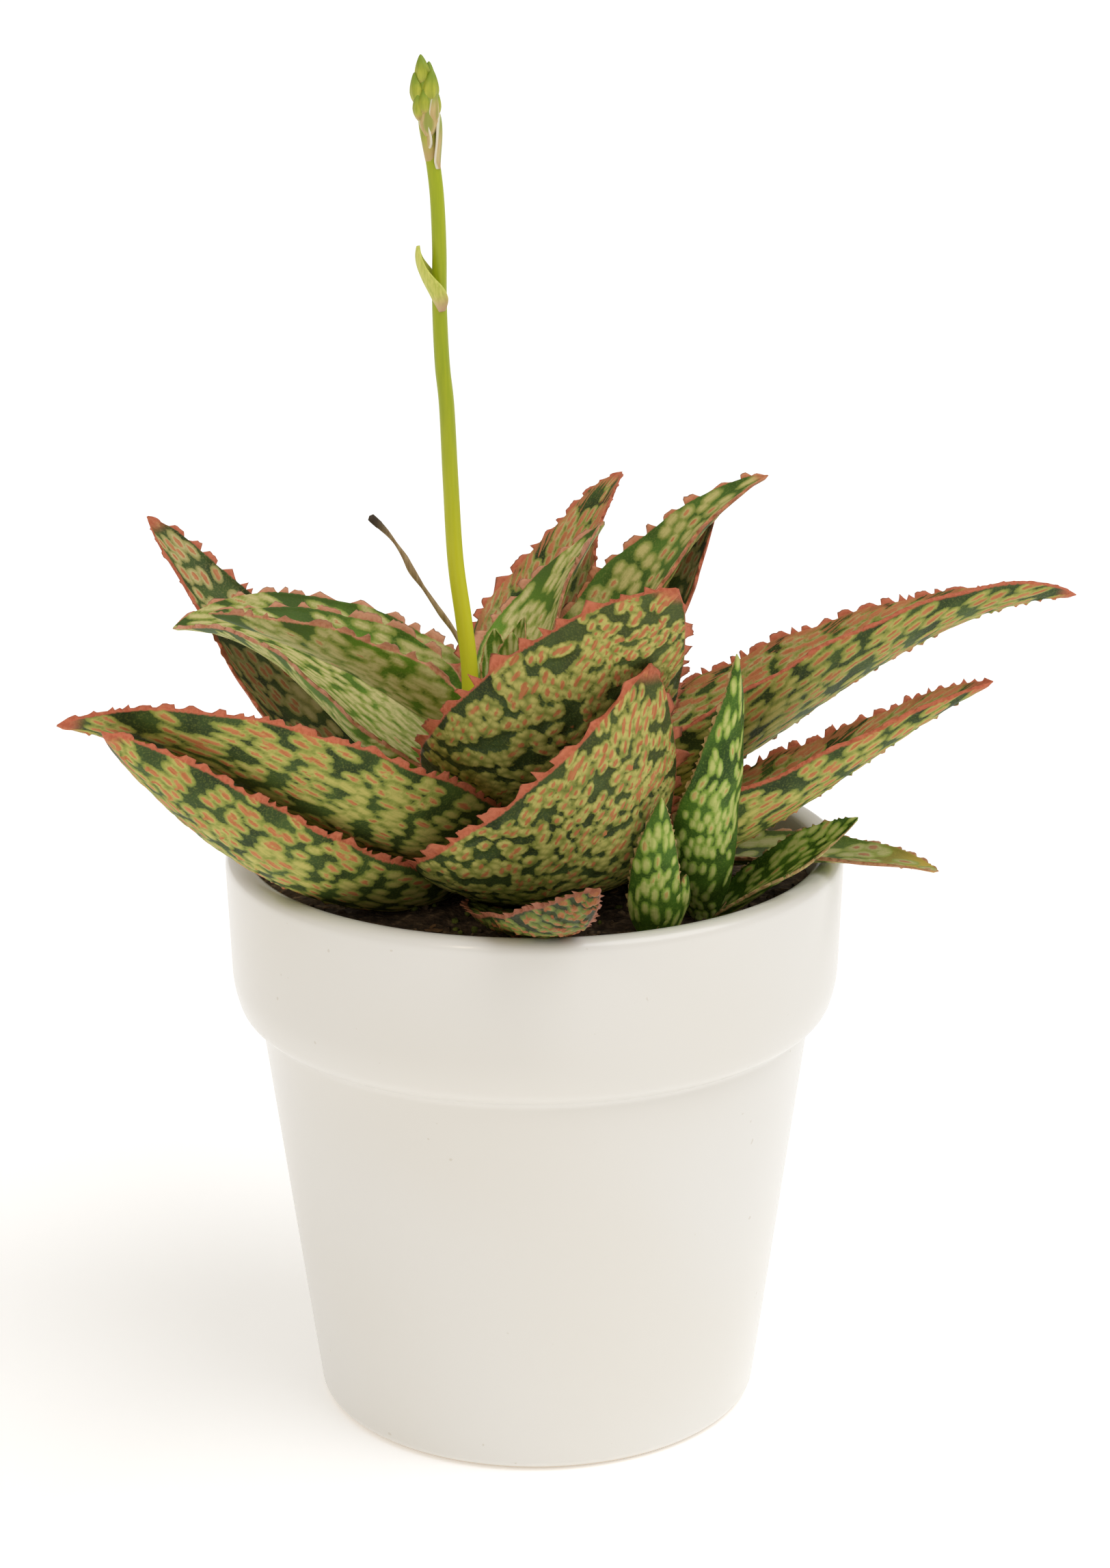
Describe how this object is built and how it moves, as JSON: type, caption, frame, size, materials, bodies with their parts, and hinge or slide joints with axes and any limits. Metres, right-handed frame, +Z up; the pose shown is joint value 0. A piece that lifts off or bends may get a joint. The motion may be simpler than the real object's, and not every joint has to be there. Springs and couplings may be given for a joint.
{
  "type": "potted aloe",
  "caption": "Small star-shaped spotted succulent with toothed leaves, offsets and a flower spike, growing in a round glazed pot with a raised rim band.",
  "frame": {"origin": "centre of the flat underside of the pot", "axes": "+Z up along the pot's axis, -Y towards the viewer in the picture, +X to the viewer's right"},
  "size_m": [0.2119, 0.1936, 0.296],
  "materials": {
    "glazed_pot": "off-white satin glaze",
    "potting_soil": null,
    "leaf": null,
    "young_leaf": null,
    "flower_spike": null,
    "dry_stalk": "dry fibrous stalk, matte"
  },
  "bodies": {
    "root": {"pot": "glazed_pot", "soil": "potting_soil", "stem": "young_leaf", "leaf_front_short": "leaf", "leaf_right_lowest": "leaf", "leaf_back_right_low": "leaf", "leaf_back_left_low": "leaf", "leaf_left_low": "leaf", "leaf_front_broad": "leaf", "leaf_right_low": "leaf", "leaf_left_back": "leaf", "leaf_back_middle": "leaf", "leaf_right_long": "leaf", "leaf_left_long": "leaf", "leaf_right_inner": "leaf", "leaf_front_upper": "leaf", "leaf_left_inner": "leaf", "leaf_back_upright": "leaf", "leaf_right_upright": "young_leaf", "leaf_back_young": "young_leaf", "leaf_left_young": "young_leaf", "heart_leaves": "young_leaf", "offset_tall": "young_leaf", "offset_small": "young_leaf", "flower_stalk": "flower_spike", "flower_head": "flower_spike", "dry_stalk": "dry_stalk"}
  },
  "joints": []
}
